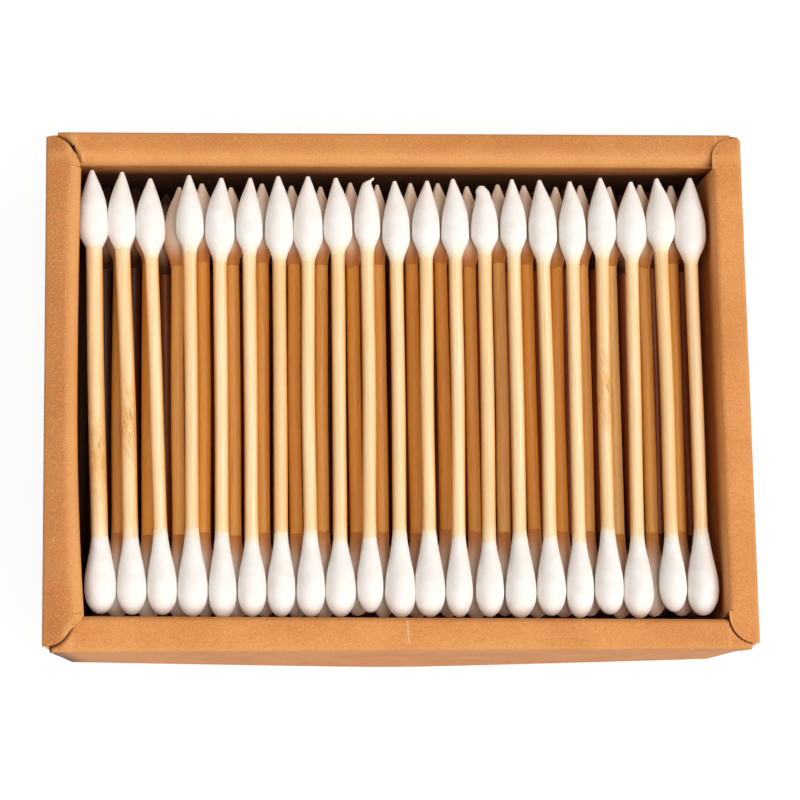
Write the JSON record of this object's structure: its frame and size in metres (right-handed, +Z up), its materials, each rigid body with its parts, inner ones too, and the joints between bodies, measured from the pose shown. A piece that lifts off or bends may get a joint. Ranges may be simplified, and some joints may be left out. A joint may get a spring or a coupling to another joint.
{
  "type": "cotton swab box",
  "caption": "Open tray folded from one sheet of plain kraft board, filled with rows of bamboo cotton swabs, each with one pointed and one round tip.",
  "frame": {"origin": "middle of the tray's underside", "axes": "+X along the tray's long side, to the right; +Y to the back, where the pointed tips lie; +Z up, out of the open tray"},
  "size_m": [0.12, 0.0897, 0.04],
  "materials": {
    "kraft_board": "matt",
    "bamboo": "satin",
    "cotton": "matt"
  },
  "bodies": {
    "root": {"tray": "kraft_board", "stems_1": "bamboo", "pointed_tips_1": "cotton", "round_tips_1": "cotton", "stems_2": "bamboo", "pointed_tips_2": "cotton", "round_tips_2": "cotton", "stems_3": "bamboo", "pointed_tips_3": "cotton", "round_tips_3": "cotton", "stems_4": "bamboo", "pointed_tips_4": "cotton", "round_tips_4": "cotton", "stems_5": "bamboo", "pointed_tips_5": "cotton", "round_tips_5": "cotton", "stems_6": "bamboo", "pointed_tips_6": "cotton", "round_tips_6": "cotton", "stems_7": "bamboo", "pointed_tips_7": "cotton", "round_tips_7": "cotton", "stems_8": "bamboo", "pointed_tips_8": "cotton", "round_tips_8": "cotton"}
  },
  "joints": []
}
